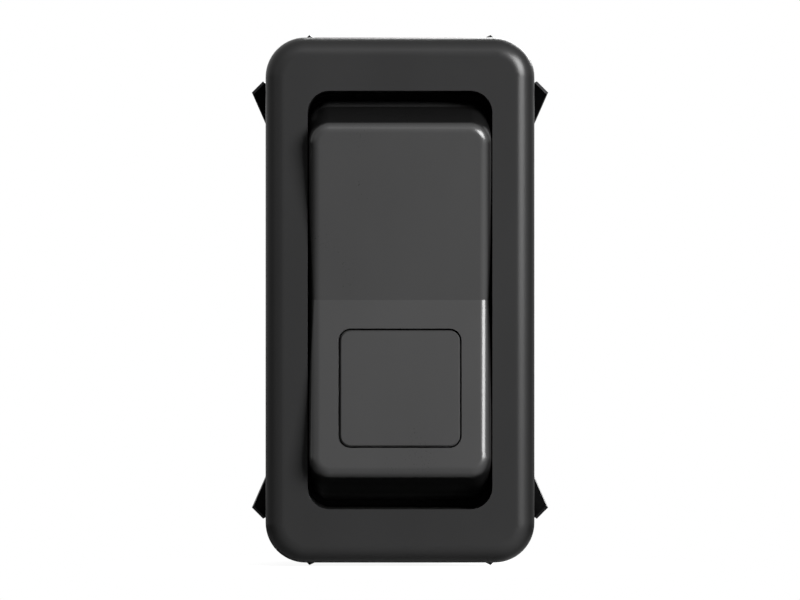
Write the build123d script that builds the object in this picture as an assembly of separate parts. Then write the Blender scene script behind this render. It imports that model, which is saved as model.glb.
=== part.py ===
from build123d import *
import math
import os

os.makedirs("parts", exist_ok=True)

# Rocker light switch for a 44 x 22 mm panel opening, in millimetres.
# The front faces -Y, +Z is up, and the origin is the middle of the panel's front surface.

# Panel opening that the switch is made for
panel_opening_width = 22.0
panel_opening_height = 44.0

# Bezel
bezel_side_overlap = 1.8
bezel_end_overlap = 3.0
bezel_thickness = 2.4
bezel_corner_radius = 3.8
bezel_lip_radius = 1.9

# Body sleeve behind the panel, and the recess that the rocker sits in
sleeve_panel_clearance = 0.3
sleeve_end_clearance = 0.35
sleeve_side_wall = 1.925
sleeve_end_wall = 1.775
sleeve_corner_leg = 3.85
recess_corner_radius = 2.1
stop_ledge_width = 1.6
cavity_corner_radius = 1.0
locating_rib_height = 0.2
locating_rib_width = 1.2
locating_rib_pitch = 9.0
locating_rib_start = 3.0
locating_rib_count = 4

# Rocker
rocker_side_gap = 0.125
rocker_end_gap = 0.7
rocker_pivot_depth = 5.3
rocker_fold_depth = -2.3
rocker_half_angle = 7.5
rocker_skirt_depth = 4.4
rocker_corner_radius = 2.0
rocker_edge_radius = 1.1
rocker_face_wall = 1.9
rocker_side_wall = 1.3
rocker_end_wall = 1.5
rocker_rib = 1.0
rocker_rib_drop = 4.0
rocker_cross_rib_drop = 3.0
rocker_throw = 9.0
rocker_stop_clearance = 0.1

# Trunnions that the rocker turns on
trunnion_radius = 1.5
trunnion_length = 1.35
trunnion_clearance = 0.05
trunnion_lead_in = 0.4
cheek_radius = 3.1

# Lens and light guide in the rocker's lower half
lens_width = 11.37
lens_height = 11.08
lens_corner_radius = 1.0
lens_thickness = 1.2
lens_groove = 0.16
lens_from_end = 10.815
lens_edge = 0.12
window_width = 8.6
window_height = 8.3
guide_clearance = 0.05
guide_tip = 5.0
guide_length = 4.8

# Barrel, plunger and spring
barrel_radius = 2.9
barrel_end = 13.4
barrel_bore_radius = 1.75
barrel_bore_start = 2.0
plunger_clearance = 0.05
plunger_shoulder = 8.9
plunger_body_length = 5.3
plunger_neck_radius = 0.95
plunger_tip_radius = 1.2
plunger_tip_depth = 16.8
plunger_spigot_radius = 0.95
plunger_spigot_length = 1.6
spring_wire_radius = 0.2
spring_coil_radius = 1.35
spring_turns = 5
spring_steps_per_turn = 12
spring_wire_sides = 6
spring_end_gap = 0.02

# See-saw contact arm
arm_tip_gap = 0.08
arm_thickness = 0.8
arm_width = 4.0
arm_half_length = 10.6
arm_throw_share = 0.5
arm_trough_half = 3.0
arm_pivot_radius = 0.8
arm_pivot_clearance = 0.05
arm_end_radius = 1.2

# Contact rivets
contact_radius = 1.4
contact_height = 0.7
contact_bevel_height = 0.2
contact_bevel_width = 0.4
contact_from_arm_end = 1.6
contact_gap = 0.06

# Blade terminals
blade_width = 6.3
blade_thickness = 0.8
blade_reach = 8.0
blade_spacing = 12.0
blade_tip_bevel = 1.0
blade_edge_bevel = 0.2
blade_hole_radius = 0.83
blade_hole_from_tip = 4.0
blade_bend_radius = 0.7
shelf_width = 5.0
shelf_past_contact = 0.2
cradle_width = 5.8
cradle_height = 5.0
cradle_relief = 0.22
cradle_ear = 0.7
cradle_ear_rise = 1.5
cradle_ear_height = 3.6
lamp_blade_width = 4.8
lamp_blade_offset = 4.3
lamp_blade_inset = 5.15
lamp_finger_overlap = 1.2

# Terminal base
base_floor_thickness = 2.4
base_rim = 1.7
base_spigot_length = 3.0
base_spigot_clearance = 0.1
base_spigot_wall = 1.0
base_edge_bevel = 0.5
boss_margin = 1.3
boss_height = 1.6
boss_root = 0.5
slot_clearance = 0.04
snap_drop = 12.0
snap_width = 4.0
snap_length = 1.6
snap_reach = 1.0
snap_clearance = 0.15
barrier_drop = 5.6
barrier_thickness = 0.8
barrier_width = 9.0
barrier_height = 1.4
post_width = 1.5
post_height = 3.0

# Lamp board and its parts
board_width = 14.6
board_height = 8.8
board_thickness = 1.0
board_before_arm = 2.48
board_below_lens = 0.64
led_radius = 1.5
led_top = 5.2
led_body_length = 4.8
led_flange_radius = 1.85
led_flange_thickness = 0.8
led_lead_width = 0.5
led_lead_pitch = 1.27
resistor_width = 1.6
resistor_length = 3.2
resistor_height = 0.55
resistor_cap_length = 0.5
resistor_cap_step = 0.08
resistor_from_edge = 2.7

# Spring-steel panel clips
clip_thickness = 0.3
clip_depth = 7.0
clip_length = 6.0
clip_pad_half = 2.3
clip_hook_width = 4.0
clip_hook_reach = 1.4
clip_hook_clearance = 0.1
leaf_flare = 5.5
leaf_tip_depth = 2.3
leaf_tip_half = 3.89
leaf_tooth_tip = 1.52
leaf_flank_slope = 0.4
leaf_inner_slope = 0.35
leaf_shoulder = 3.1
leaf_notch = 1.9
leaf_offset = 7.9

# Worked-out sizes
sleeve_width = panel_opening_width - 2 * sleeve_panel_clearance
sleeve_height = panel_opening_height - 2 * sleeve_end_clearance
bezel_width = panel_opening_width + 2 * bezel_side_overlap
bezel_height = panel_opening_height + 2 * bezel_end_overlap
recess_width = sleeve_width - 2 * sleeve_side_wall
recess_height = sleeve_height - 2 * sleeve_end_wall
cavity_height = recess_height - 2 * stop_ledge_width
rocker_width = recess_width - 2 * rocker_side_gap
rocker_swing_radius = recess_height / 2 - rocker_end_gap
throw = math.radians(rocker_throw)
tilt = math.radians(rocker_half_angle)
arm_throw = arm_throw_share * throw
skirt_below_pivot = rocker_skirt_depth - rocker_pivot_depth
skirt_reach = rocker_swing_radius * math.sin(throw)
ledge_depth = rocker_pivot_depth + skirt_below_pivot * math.cos(throw) + skirt_reach + rocker_stop_clearance
plunger_radius = barrel_bore_radius - plunger_clearance
tip_arm = plunger_tip_depth - rocker_pivot_depth
arm_top = plunger_tip_depth + plunger_tip_radius + arm_tip_gap
arm_axis = arm_top + arm_thickness
contact_spacing = arm_half_length - contact_from_arm_end
lens_drop = rocker_swing_radius - lens_from_end
board_drop = lens_drop + board_below_lens
board_back = arm_top - board_before_arm
board_depth = board_back - board_thickness
lamp_blade_drop = sleeve_height / 2 - lamp_blade_inset
sleeve_corner_sum = (sleeve_width + sleeve_height) / 2 - sleeve_corner_leg
clip_corner_sum = sleeve_corner_sum + clip_thickness * math.sqrt(2)
clip_back = clip_depth + clip_length


def front(depth):
    """Sketch plane across the switch at one depth, with X to the right and Z up."""
    return Plane(origin=(0, depth, 0), x_dir=(1, 0, 0), z_dir=(0, -1, 0))


def block(width, height, start, end, x=0.0, z=0.0, corner=0.0):
    """Rectangle across X and Z that runs from depth start to depth end."""
    outline = RectangleRounded(width, height, corner) if corner else Rectangle(width, height)
    return extrude(front(start) * Pos(x, z) * outline, amount=start - end)


def rod(radius, start, end, x=0.0, z=0.0):
    """Round rod along the depth."""
    return extrude(front(start) * Pos(x, z) * Circle(radius), amount=start - end)


def cross_rod(radius, left, right, depth, z=0.0):
    """Round rod along X."""
    return extrude(Plane.YZ.offset(left) * Pos(depth, z) * Circle(radius), amount=right - left)


def both_ends(shape):
    """The shape and its mirror image below the middle."""
    return shape + mirror(shape, Plane.XY)


def save(shape, name, color):
    """Write one piece to its own file."""
    solid = shape.solid() if len(shape.solids()) == 1 else shape
    solid.label = name
    solid.color = Color(*color)
    export_step(solid, f"parts/{name}.step")


def face_depth(z):
    """Depth of the rocker's face at height z."""
    return rocker_fold_depth - abs(z) * math.tan(tilt)


def rocker_wedge(drop, side, end, bottom):
    """Solid under the dished face: drop below the face, in from the sides and from the swung ends."""
    reach = rocker_swing_radius - end
    half_width = rocker_width / 2 - side
    top = drop / math.cos(tilt)
    far = rocker_swing_radius * 1.5
    corners = [
        (rocker_fold_depth + top, 0),
        (face_depth(far) + top, far),
        (bottom, far),
        (bottom, 0),
    ]
    prism = extrude(Plane.YZ * make_face(Polyline(corners, close=True)), amount=half_width, both=True)
    swing = cross_rod(reach, -half_width, half_width, rocker_pivot_depth)
    return prism & swing


def rocker_half():
    """Upper half of the rocker's outside, with its rounded corners and edges."""
    half = rocker_wedge(0, 0, 0, rocker_skirt_depth)
    corner_edges = [
        e
        for e in half.edges()
        if abs(abs(e.center().X) - rocker_width / 2) < 0.01 and e.geom_type == GeomType.CIRCLE
    ]
    half = fillet(corner_edges, rocker_corner_radius)
    limit = face_depth(0) + 0.01
    rim = [
        e
        for e in half.edges()
        if e.center().Y < limit and e.center().Z > 0.01 and max(v.Y for v in e.vertices()) < limit
    ]
    return fillet(rim, rocker_edge_radius)


def lens_plane():
    """Plane of the lens, flush with the rocker's lower face."""
    return Plane(
        origin=(0, face_depth(lens_drop), -lens_drop),
        x_dir=(1, 0, 0),
        z_dir=(0, -math.cos(tilt), math.sin(tilt)),
    )


def make_rocker_cap():
    """Dished rocker shell with its cheeks, trunnions, ribs and plunger barrel."""
    cap = both_ends(rocker_half())
    inner = rocker_wedge(rocker_face_wall, rocker_side_wall, rocker_end_wall, rocker_skirt_depth + 1)
    cap -= both_ends(inner)
    half = rocker_width / 2
    inside = half - rocker_side_wall
    for side in (-1, 1):
        wall = sorted((side * inside, side * half))
        cap += cross_rod(cheek_radius, wall[0], wall[1], rocker_pivot_depth)
        stub = sorted((side * inside, side * (half + trunnion_length)))
        trunnion = cross_rod(trunnion_radius, stub[0], stub[1], rocker_pivot_depth)
        tip = trunnion.edges().sort_by(Axis.X)[-1 if side > 0 else 0]
        cap += chamfer(tip, trunnion_lead_in)
    under_face = rocker_fold_depth + rocker_face_wall / 2
    under_fold = rocker_fold_depth + rocker_face_wall
    middle = rocker_swing_radius / 2
    rib_start = face_depth(middle)
    ribs = block(rocker_width, rocker_rib, under_face, rocker_skirt_depth)
    ribs += block(rocker_rib, rocker_swing_radius, rib_start, under_fold + rocker_rib_drop, z=middle)
    ribs += block(rocker_width, rocker_rib, rib_start, under_fold + rocker_cross_rib_drop, z=middle)
    rib_limit = rocker_wedge(rocker_face_wall / 2, rocker_side_wall / 2, rocker_end_wall / 2, barrel_end)
    cap += ribs & both_ends(rib_limit)
    cap += rod(barrel_radius, under_face, barrel_end)
    cap -= rod(barrel_bore_radius, barrel_bore_start, barrel_end + 1)
    seat = RectangleRounded(
        lens_width + 2 * lens_groove, lens_height + 2 * lens_groove, lens_corner_radius + lens_groove
    )
    cap -= extrude(lens_plane() * seat, amount=-lens_thickness)
    cap -= extrude(lens_plane() * Rectangle(window_width, window_height), amount=-rocker_face_wall - 1)
    return cap


def make_rocker_lens():
    """Rounded-square lens that lies flush in the rocker."""
    outline = RectangleRounded(lens_width, lens_height, lens_corner_radius)
    lens = extrude(lens_plane() * outline, amount=-lens_thickness)
    rim = lens.faces().sort_by(Axis.Y)[0].edges()
    return chamfer(rim, lens_edge)


def make_light_guide():
    """Clear block that carries the lamp's light to the lens."""
    wide = Rectangle(window_width - 2 * guide_clearance, window_height - 2 * guide_clearance)
    face = lens_plane()
    inwards = Plane(origin=face.origin, x_dir=face.x_dir, z_dir=-face.z_dir)
    collar = extrude(wide, amount=rocker_face_wall - lens_thickness)
    taper = math.degrees(math.atan((window_width - guide_tip) / 2 / guide_length))
    cone = extrude(wide, amount=guide_length, taper=taper)
    collar = inwards.offset(lens_thickness).location * collar
    return collar + inwards.offset(rocker_face_wall).location * cone


def make_plunger():
    """Nylon plunger: spigot for the spring, guided body and ball tip."""
    body_end = plunger_shoulder + plunger_body_length
    spigot_start = plunger_shoulder - plunger_spigot_length
    tip_rim = plunger_tip_depth + math.sqrt(plunger_tip_radius**2 - plunger_neck_radius**2)
    tip_end = plunger_tip_depth + plunger_tip_radius
    half_angle = math.asin(plunger_neck_radius / plunger_tip_radius) / 2
    on_tip = (
        plunger_tip_radius * math.sin(half_angle),
        plunger_tip_depth + plunger_tip_radius * math.cos(half_angle),
    )
    stem = Polyline(
        (0, tip_end),
        (0, spigot_start),
        (plunger_spigot_radius, spigot_start),
        (plunger_spigot_radius, plunger_shoulder),
        (plunger_radius, plunger_shoulder),
        (plunger_radius, body_end),
        (plunger_neck_radius, body_end),
        (plunger_neck_radius, tip_rim),
    )
    tip = ThreePointArc((plunger_neck_radius, tip_rim), on_tip, (0, tip_end))
    return revolve(make_face(stem + tip), Axis.Y)


def make_plunger_spring():
    """Round-wire coil spring between the barrel's floor and the plunger's shoulder."""
    start = barrel_bore_start + spring_wire_radius + spring_end_gap
    end = plunger_shoulder - spring_wire_radius - spring_end_gap
    steps = round(spring_turns * spring_steps_per_turn)
    points = []
    for step in range(steps + 1):
        angle = 2 * math.pi * step / spring_steps_per_turn
        depth = start + (end - start) * step / steps
        points.append((spring_coil_radius * math.cos(angle), depth, spring_coil_radius * math.sin(angle)))
    path = Polyline(*points)
    wire = Plane(origin=path @ 0, z_dir=path % 0) * RegularPolygon(spring_wire_radius, spring_wire_sides)
    return sweep(wire, path=path, transition=Transition.RIGHT)


def tip_rise():
    """How far the arm's trough rises where the plunger's tip ends its swing, seen from the arm."""
    across = tip_arm * math.sin(throw)
    below = rocker_pivot_depth + tip_arm * math.cos(throw) - arm_axis
    turned_across = across * math.cos(arm_throw) + below * math.sin(arm_throw)
    turned_below = below * math.cos(arm_throw) - across * math.sin(arm_throw)
    rise = (plunger_tip_depth - arm_axis) - turned_below
    return turned_across, rise


def make_contact_arm():
    """Stamped see-saw arm: a trough for the plunger, two wings and a half-round pivot under it."""
    across, rise = tip_rise()
    path_radius = (across**2 + rise**2) / (2 * abs(rise))
    trough_radius = path_radius + plunger_tip_radius + arm_tip_gap
    outer_radius = trough_radius + arm_thickness
    center = arm_top - trough_radius
    angle = math.asin(arm_trough_half / trough_radius)
    wing_top = center + trough_radius * math.cos(angle)
    wing_bottom = wing_top + arm_thickness
    outer_half = math.sqrt(outer_radius**2 - (wing_bottom - center) ** 2)
    top = ThreePointArc((wing_top, -arm_trough_half), (arm_top, 0), (wing_top, arm_trough_half))
    under = ThreePointArc((wing_bottom, outer_half), (arm_axis, 0), (wing_bottom, -outer_half))
    right = Polyline(
        (wing_top, arm_trough_half),
        (wing_top, arm_half_length),
        (wing_bottom, arm_half_length),
        (wing_bottom, outer_half),
    )
    left = Polyline(
        (wing_bottom, -outer_half),
        (wing_bottom, -arm_half_length),
        (wing_top, -arm_half_length),
        (wing_top, -arm_trough_half),
    )
    profile = make_face(top + right + under + left)
    arm = extrude(Plane.YZ * profile, amount=arm_width / 2, both=True)
    end_edges = [e for e in arm.edges().filter_by(Axis.Y) if abs(e.center().Z) > arm_half_length - 0.01]
    arm = fillet(end_edges, arm_end_radius)
    pivot = cross_rod(arm_pivot_radius, -arm_width / 2, arm_width / 2, arm_axis)
    return arm + pivot, wing_bottom


def contact(start, end, z):
    """Rivet head with a bevelled rim round its flat face. It may face either way."""
    lean = math.copysign(contact_bevel_height, end - start)
    profile = Polyline(
        (0, start),
        (contact_radius, start),
        (contact_radius, end - lean),
        (contact_radius - contact_bevel_width, end),
        (0, end),
        close=True,
    )
    return Pos(0, 0, z) * revolve(make_face(profile), Axis.Y)


def blade(width, start, end, x=0.0, z=0.0):
    """Flat blade with a bevelled tip and its locking hole."""
    tab = block(width, blade_thickness, start, end, x=x, z=z)
    tip_corners = [e for e in tab.edges().filter_by(Axis.Z) if e.center().Y > end - 0.01]
    tab = chamfer(tip_corners, blade_tip_bevel)
    tip_edges = [
        e
        for e in tab.edges()
        if e.center().Y > end - 0.01 and abs(abs(e.center().Z - z) - blade_thickness / 2) < 0.01
    ]
    tab = chamfer(tip_edges, blade_edge_bevel)
    hole = Pos(x, end - blade_hole_from_tip, z) * Cylinder(blade_hole_radius, 2 * blade_thickness)
    return tab - hole


def make_side_terminal(shelf_top, blade_end):
    """Upper blade terminal, bent inwards under the arm's upper contact."""
    tab = blade(blade_width, shelf_top, blade_end, z=blade_spacing)
    reach_in = contact_spacing - contact_radius - shelf_past_contact
    outer = blade_spacing + blade_thickness / 2
    shelf_end = shelf_top + blade_thickness
    shelf = block(shelf_width, outer - reach_in, shelf_top, shelf_end, z=(outer + reach_in) / 2)
    terminal = tab + shelf
    bend = [
        e
        for e in terminal.edges().filter_by(Axis.X)
        if abs(e.center().Y - shelf_top) < 0.01 and e.center().Z > outer - 0.01
    ]
    return fillet(bend, blade_bend_radius)


def make_common_terminal(floor, blade_end):
    """Centre blade terminal: cradle for the arm's pivot between two guide ears."""
    top = arm_axis + cradle_relief
    terminal = block(cradle_width, cradle_height, top, floor)
    terminal -= cross_rod(arm_pivot_radius + arm_pivot_clearance, -cradle_width, cradle_width, arm_axis)
    ear = (cradle_width - cradle_ear) / 2
    for side in (-1, 1):
        terminal += block(cradle_ear, cradle_ear_height, top - cradle_ear_rise, floor, x=side * ear)
    return terminal + blade(blade_width, floor, blade_end)


def make_lamp_terminal(side, blade_end):
    """Lamp blade terminal whose bent finger bears on the back of the board."""
    finger_top = board_back
    x = side * lamp_blade_offset
    tab = blade(lamp_blade_width, finger_top, blade_end, x=x, z=-lamp_blade_drop)
    low = -lamp_blade_drop - blade_thickness / 2
    high = -board_drop - board_height / 2 + lamp_finger_overlap
    finger_end = finger_top + blade_thickness
    finger = block(lamp_blade_width, high - low, finger_top, finger_end, x=x, z=(low + high) / 2)
    terminal = tab + finger
    bend = [
        e
        for e in terminal.edges().filter_by(Axis.X)
        if abs(e.center().Y - finger_top) < 0.01 and e.center().Z < low + 0.01
    ]
    return fillet(bend, blade_bend_radius)


def sleeve_block(start, end, inset=0.0):
    """Body outline with its four bevelled corners."""
    width = sleeve_width - 2 * inset
    height = sleeve_height - 2 * inset
    body = block(width, height, start, end)
    leg = sleeve_corner_leg - inset * (2 - math.sqrt(2))
    return chamfer(body.edges().filter_by(Axis.Y), leg)


def clip_outline():
    """Section of the clip's band and its two bevelled pads, wrapped round the sleeve's upper end."""
    end = sleeve_height / 2
    inner_end = end - clip_thickness
    root = math.sqrt(2) * (leaf_offset - clip_pad_half)
    right = [
        (clip_corner_sum - end, end),
        ((clip_corner_sum - root) / 2, (clip_corner_sum + root) / 2),
        ((sleeve_corner_sum - root) / 2, (sleeve_corner_sum + root) / 2),
        (sleeve_corner_sum - inner_end, inner_end),
    ]
    left = [(-x, z) for x, z in reversed(right)]
    return make_face(Polyline(right + left, close=True))


def clip_leaf(side):
    """Spring leaf at one upper corner: it flares out towards the panel and ends in two teeth."""
    rise = (sleeve_corner_sum + leaf_flare - clip_corner_sum) / math.sqrt(2)
    run = clip_depth - leaf_tip_depth + clip_thickness
    slope = math.hypot(rise, run)
    stretch = slope / rise
    shoulder = slope - leaf_shoulder * stretch
    shoulder_half = leaf_tip_half + leaf_flank_slope * leaf_shoulder
    tooth_inner = leaf_tip_half - leaf_tooth_tip
    notch = slope - leaf_notch * stretch
    notch_half = tooth_inner - leaf_inner_slope * leaf_notch
    right = [
        (clip_pad_half, 0),
        (shoulder_half, shoulder),
        (leaf_tip_half, slope),
        (tooth_inner, slope),
        (notch_half, notch),
    ]
    left = [(-s, reach) for s, reach in reversed(right)]
    middle = math.sqrt(2) * leaf_offset
    across = side * (clip_corner_sum - middle) / 2
    root = (across, clip_depth + clip_thickness, (clip_corner_sum + middle) / 2)
    along = Vector(side * rise / math.sqrt(2), -run, rise / math.sqrt(2)).normalized()
    outward = Vector(side * run / math.sqrt(2), rise, run / math.sqrt(2)).normalized()
    plane = Plane(origin=root, x_dir=along.cross(outward), z_dir=outward)
    return extrude(plane * make_face(Polyline(right + left, close=True)), amount=-clip_thickness)


def make_clip():
    """Upper retaining clip: band, two pads, two leaves and the hook that holds it in the sleeve."""
    band = extrude(front(clip_depth) * clip_outline(), amount=-clip_length)
    clip = band + clip_leaf(1) + clip_leaf(-1)
    hook_z = (sleeve_height - clip_hook_reach) / 2
    return clip + block(clip_hook_width, clip_hook_reach, clip_back - clip_thickness, clip_back, z=hook_z)


def make_housing(sleeve_depth):
    """Bezel and sleeve in one moulding, with the rocker's recess and bearing holes."""
    bezel = block(bezel_width, bezel_height, -bezel_thickness, 0, corner=bezel_corner_radius)
    bezel = fillet(bezel.faces().sort_by(Axis.Y)[0].edges(), bezel_lip_radius)
    housing = bezel + sleeve_block(0, sleeve_depth)
    for index in range(locating_rib_count):
        z = (index - (locating_rib_count - 1) / 2) * locating_rib_pitch
        rib_width = sleeve_width + 2 * locating_rib_height
        rib = block(rib_width, locating_rib_width, locating_rib_start, sleeve_depth, z=z)
        housing += chamfer(rib.faces().sort_by(Axis.Y)[-1].edges().filter_by(Axis.Z), locating_rib_height)
    housing -= block(recess_width, recess_height, -bezel_thickness, ledge_depth, corner=recess_corner_radius)
    housing -= block(recess_width, cavity_height, ledge_depth, sleeve_depth, corner=cavity_corner_radius)
    housing -= cross_rod(
        trunnion_radius + trunnion_clearance, -bezel_width, bezel_width, rocker_pivot_depth
    )
    pocket_middle = (sleeve_height - clip_thickness) / 2
    pocket = block(sleeve_width, clip_thickness, clip_depth, clip_back, z=pocket_middle)
    hook_hole = block(
        clip_hook_width + 2 * clip_hook_clearance,
        sleeve_height / 2,
        clip_back - clip_thickness - clip_hook_clearance,
        clip_back,
        z=sleeve_height / 2,
    )
    hook_hole -= block(sleeve_width, recess_height - stop_ledge_width, 0, sleeve_depth)
    housing -= both_ends(pocket)
    housing -= both_ends(hook_hole)
    window_start = sleeve_depth - base_spigot_length + snap_clearance
    for z in (-snap_drop, snap_drop):
        housing -= block(
            bezel_width,
            snap_width + 2 * snap_clearance,
            window_start,
            window_start + snap_length + snap_clearance,
            z=z,
        )
    return housing


def make_base(sleeve_depth, floor, back, blades):
    """Rear moulding: spigot and snap noses into the sleeve, floor, bosses, barriers and posts."""
    base = sleeve_block(sleeve_depth, back)
    base = chamfer(base.faces().sort_by(Axis.Y)[-1].edges(), base_edge_bevel)
    spigot_start = sleeve_depth - base_spigot_length
    spigot_width = recess_width - 2 * base_spigot_clearance
    spigot_height = cavity_height - 2 * base_spigot_clearance
    base += block(spigot_width, spigot_height, spigot_start, sleeve_depth, corner=cavity_corner_radius)
    inner_width = spigot_width - 2 * base_spigot_wall
    inner_height = spigot_height - 2 * base_spigot_wall
    base -= block(inner_width, inner_height, spigot_start, floor)
    nose_root = (spigot_width - base_spigot_wall) / 2
    nose_start = spigot_start + 2 * snap_clearance
    nose_end = nose_start + snap_length - snap_clearance
    for side in (-1, 1):
        for z in (-snap_drop, snap_drop):
            nose = make_face(
                Polyline(
                    (side * nose_root, nose_start),
                    (side * (spigot_width / 2 + base_spigot_clearance), nose_start),
                    (side * (spigot_width / 2 + snap_reach), nose_end),
                    (side * nose_root, nose_end),
                    close=True,
                )
            )
            base += Pos(0, 0, z - snap_width / 2) * extrude(nose, amount=snap_width, dir=(0, 0, 1))
    for z in (-barrier_drop, barrier_drop):
        base += block(barrier_width, barrier_thickness, floor - barrier_height, floor, z=z)
    for side in (-1, 1):
        x = side * (board_width - post_width) / 2
        base += block(post_width, post_height, board_back, floor, x=x, z=-board_drop)
    for width, x, z in blades:
        grown = 2 * boss_margin
        boss = block(width + grown, blade_thickness + grown, back - boss_root, back + boss_height, x=x, z=z)
        base += chamfer(boss.faces().sort_by(Axis.Y)[-1].edges(), base_edge_bevel)
    play = 2 * slot_clearance
    for width, x, z in blades:
        base -= block(width + play, blade_thickness + play, floor, back + boss_height, x=x, z=z)
    return base


def make_led():
    """Round flat-topped indicator lamp with its flange and two square leads."""
    body_end = led_top + led_body_length
    flange_end = body_end + led_flange_thickness
    led = rod(led_radius, led_top, body_end) + rod(led_flange_radius, body_end, flange_end)
    for side in (-1, 1):
        led += block(led_lead_width, led_lead_width, flange_end, board_depth, x=side * led_lead_pitch / 2)
    return Pos(0, 0, -lens_drop) * led


def make_resistor():
    """Chip resistor on the front of the board, with its two end caps standing a little proud."""
    top = board_depth - resistor_height
    step = resistor_cap_step
    chip = block(resistor_width, resistor_length, top, board_depth)
    chip -= block(resistor_width, resistor_length - 2 * resistor_cap_length, top, top + step)
    return Pos(board_width / 2 - resistor_from_edge, 0, -board_drop) * chip


def make_board():
    """Small circuit board, cut square from its panel."""
    return block(board_width, board_height, board_depth, board_back, z=-board_drop)


black_bezel = (0.04, 0.04, 0.043)
black_rocker = (0.07, 0.07, 0.073)
steel = (0.12, 0.12, 0.13)
brass = (0.78, 0.6, 0.28)
silver = (0.82, 0.82, 0.8)

contact_arm, wing_bottom = make_contact_arm()
arm_contact_end = wing_bottom + contact_height
contact_edge = contact_spacing + contact_radius
arm_fall = (arm_contact_end - arm_axis) * math.cos(arm_throw) + contact_edge * math.sin(arm_throw)
fixed_contact_face = arm_axis + arm_fall + contact_gap
shelf_top = fixed_contact_face + contact_height
floor = shelf_top + blade_thickness
sleeve_depth = floor - base_rim
base_back = floor + base_floor_thickness
blade_end = base_back + boss_height + blade_reach
blades = [
    (blade_width, 0, blade_spacing),
    (blade_width, 0, 0),
    (blade_width, 0, -blade_spacing),
    (lamp_blade_width, -lamp_blade_offset, -lamp_blade_drop),
    (lamp_blade_width, lamp_blade_offset, -lamp_blade_drop),
]

save(make_housing(sleeve_depth), "housing", black_bezel)
save(make_base(sleeve_depth, floor, base_back, blades), "terminal_base", black_bezel)
save(make_rocker_cap(), "rocker_cap", black_rocker)
save(make_rocker_lens(), "rocker_lens", black_rocker)
save(make_light_guide(), "light_guide", (0.9, 0.9, 0.92))
save(make_plunger(), "plunger", (0.85, 0.83, 0.78))
save(make_plunger_spring(), "plunger_spring", silver)
save(contact_arm, "contact_arm", brass)

upper_arm_contact = contact(wing_bottom, arm_contact_end, contact_spacing)
save(upper_arm_contact, "arm_contact_upper", silver)
save(mirror(upper_arm_contact, Plane.XY), "arm_contact_lower", silver)
upper_fixed_contact = contact(shelf_top, fixed_contact_face, contact_spacing)
save(upper_fixed_contact, "fixed_contact_upper", silver)
save(mirror(upper_fixed_contact, Plane.XY), "fixed_contact_lower", silver)

upper_terminal = make_side_terminal(shelf_top, blade_end)
save(upper_terminal, "terminal_upper", brass)
save(mirror(upper_terminal, Plane.XY), "terminal_lower", brass)
save(make_common_terminal(floor, blade_end), "terminal_common", brass)
save(make_lamp_terminal(-1, blade_end), "lamp_terminal_left", brass)
save(make_lamp_terminal(1, blade_end), "lamp_terminal_right", brass)

upper_clip = make_clip()
save(upper_clip, "clip_upper", steel)
save(mirror(upper_clip, Plane.XY), "clip_lower", steel)

save(make_board(), "lamp_board", (0.1, 0.3, 0.15))
save(make_led(), "indicator_led", (0.9, 0.9, 0.85))
save(make_resistor(), "lamp_resistor", (0.75, 0.65, 0.45))

print("ledge depth", round(ledge_depth, 3))
print("arm axis", round(arm_axis, 3), "tip rise", [round(v, 3) for v in tip_rise()])
print("fixed contact face", round(fixed_contact_face, 3), "floor", round(floor, 3))
print("base back", round(base_back, 3), "blade end", round(blade_end, 3))
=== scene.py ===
"""Looks of a panel-mounted rocker light switch: moulded shells, lens, clips, terminals and works."""
import logging
import math
from dataclasses import dataclass, field
from enum import Enum

import bmesh
import bpy
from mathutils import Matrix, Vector


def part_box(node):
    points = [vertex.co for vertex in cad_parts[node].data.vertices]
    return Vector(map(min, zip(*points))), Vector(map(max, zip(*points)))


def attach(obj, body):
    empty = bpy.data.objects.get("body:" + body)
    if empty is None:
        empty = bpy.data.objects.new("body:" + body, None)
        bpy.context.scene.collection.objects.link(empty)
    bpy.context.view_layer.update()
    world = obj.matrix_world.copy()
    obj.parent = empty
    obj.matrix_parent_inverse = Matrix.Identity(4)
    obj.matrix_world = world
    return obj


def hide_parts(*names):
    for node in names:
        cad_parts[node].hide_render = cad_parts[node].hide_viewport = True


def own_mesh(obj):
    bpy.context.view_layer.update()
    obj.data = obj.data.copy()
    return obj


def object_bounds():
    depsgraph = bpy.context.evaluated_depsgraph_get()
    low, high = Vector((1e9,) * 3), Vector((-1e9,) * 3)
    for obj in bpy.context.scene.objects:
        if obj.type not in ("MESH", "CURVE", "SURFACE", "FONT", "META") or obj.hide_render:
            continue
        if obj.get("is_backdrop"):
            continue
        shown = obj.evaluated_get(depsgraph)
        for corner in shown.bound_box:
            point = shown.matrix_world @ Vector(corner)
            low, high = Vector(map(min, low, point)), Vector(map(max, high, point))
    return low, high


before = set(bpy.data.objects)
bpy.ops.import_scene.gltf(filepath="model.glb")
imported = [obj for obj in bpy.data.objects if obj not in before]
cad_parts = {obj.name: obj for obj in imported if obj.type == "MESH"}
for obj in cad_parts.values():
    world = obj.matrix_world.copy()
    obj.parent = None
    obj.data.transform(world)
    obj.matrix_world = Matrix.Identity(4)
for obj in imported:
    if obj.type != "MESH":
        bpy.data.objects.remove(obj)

LOG = logging.getLogger("rocker_switch")
MM = 0.001
PHOTO_WIDTH_PX = 800
PHOTO_SCALE_PX_PER_MM = 10.496
WELD_DISTANCE = 0.001 * MM
FLAT_ANGLE = math.radians(0.3)
CREASE_ANGLE = math.radians(12)
FLATTEST_BEND = math.radians(20)
SHARPEST_BEND = math.radians(75)
SHORTEST_BEND = 1.0 * MM
BEND_STEPS = 5
EDGE_STEPS = 2
RIM_ANGLE = math.radians(20)
FULL_WEIGHT = 100
NOISE_MIDDLE = (0.3, 0.7)
NOISE_ROUGHNESS = 0.55
WAVE_LENGTH = math.pi / 10

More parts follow.
